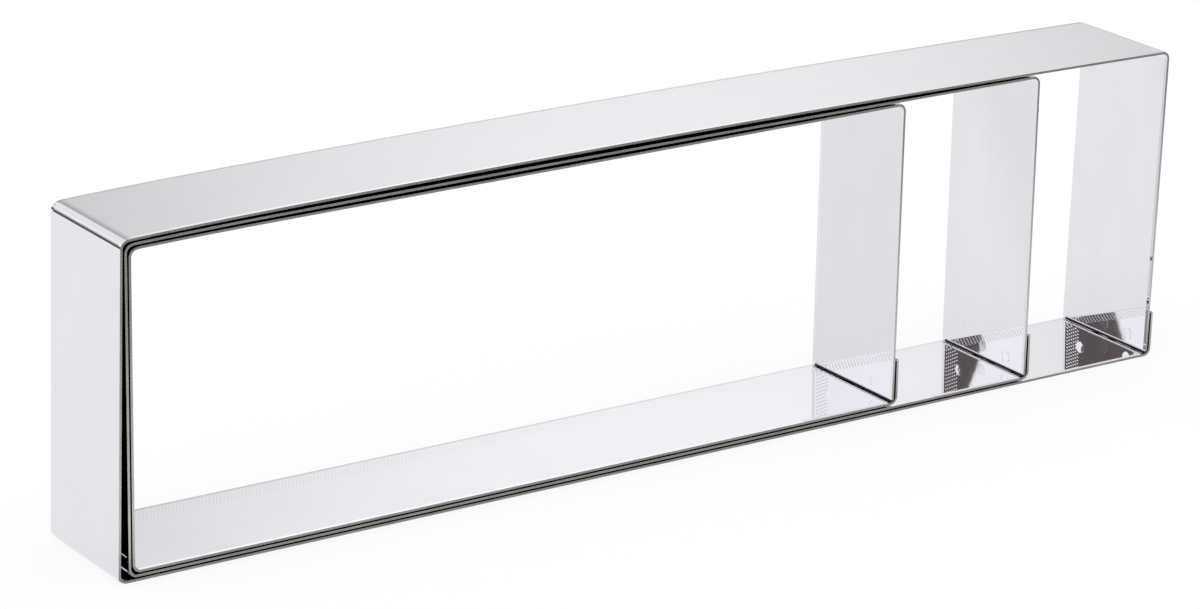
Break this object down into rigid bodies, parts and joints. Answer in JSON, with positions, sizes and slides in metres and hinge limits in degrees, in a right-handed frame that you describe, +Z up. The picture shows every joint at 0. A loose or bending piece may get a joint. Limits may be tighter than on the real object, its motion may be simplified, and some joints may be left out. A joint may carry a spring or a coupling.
{
  "type": "nested rectangular pastry ring set",
  "caption": "Nested open rectangular pastry rings of polished steel strip, bent at the corners, lapped and spot welded, for shaping and cutting cakes and pastry.",
  "frame": {"origin": "middle of the footprint, on the surface that the large ring's long side stands on", "axes": "+X along the rings towards the lapped ends, +Y through the rings from the front rims to the rear rims, +Z up"},
  "size_m": [0.2824, 0.032, 0.0778],
  "materials": {
    "polished_steel": "polished",
    "spot_weld": "satin"
  },
  "bodies": {
    "large_ring": {"large_strip": "polished_steel", "large_weld_front": "spot_weld", "large_weld_middle": "spot_weld", "large_weld_rear": "spot_weld"},
    "medium_ring": {"medium_strip": "polished_steel", "medium_weld_front": "spot_weld", "medium_weld_middle": "spot_weld", "medium_weld_rear": "spot_weld"},
    "small_ring": {"small_strip": "polished_steel", "small_weld_front": "spot_weld", "small_weld_middle": "spot_weld", "small_weld_rear": "spot_weld"}
  },
  "joints": [
    {"name": "medium_ring_draw", "type": "slide", "parent": "large_ring", "child": "medium_ring", "axis": [0, 1, 0], "range_m": [-0.032, 0.032]},
    {"name": "small_ring_draw", "type": "slide", "parent": "medium_ring", "child": "small_ring", "axis": [0, 1, 0], "range_m": [-0.032, 0.032]}
  ]
}
